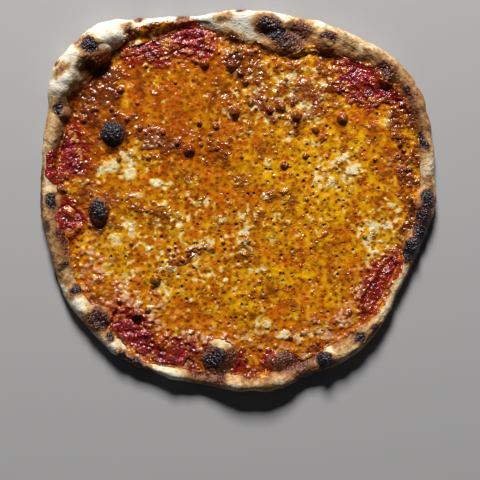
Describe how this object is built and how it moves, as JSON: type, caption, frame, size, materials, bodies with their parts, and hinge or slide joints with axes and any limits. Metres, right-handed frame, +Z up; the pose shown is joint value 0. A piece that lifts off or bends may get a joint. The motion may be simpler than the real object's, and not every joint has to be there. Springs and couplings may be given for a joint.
{
  "type": "margherita pizza",
  "caption": "Whole round thin-crust pizza with a puffed, blistered rim, crushed tomato and melted mozzarella.",
  "frame": {"origin": "middle of the flat underside, at the level of the table", "axes": "+Z up out of the toppings, +X along the widest way across, +Y towards the side with the broad puffed corner"},
  "size_m": [0.3084, 0.2954, 0.019],
  "materials": {
    "dough": "baked crust, matte, floury, charred on its blisters",
    "tomato_sauce": "wet crushed tomato",
    "melted_cheese": "melted and browned mozzarella, oily sheen"
  },
  "bodies": {
    "root": {"dough": "dough", "tomato_sauce": "tomato_sauce", "melted_cheese": "melted_cheese"}
  },
  "joints": []
}
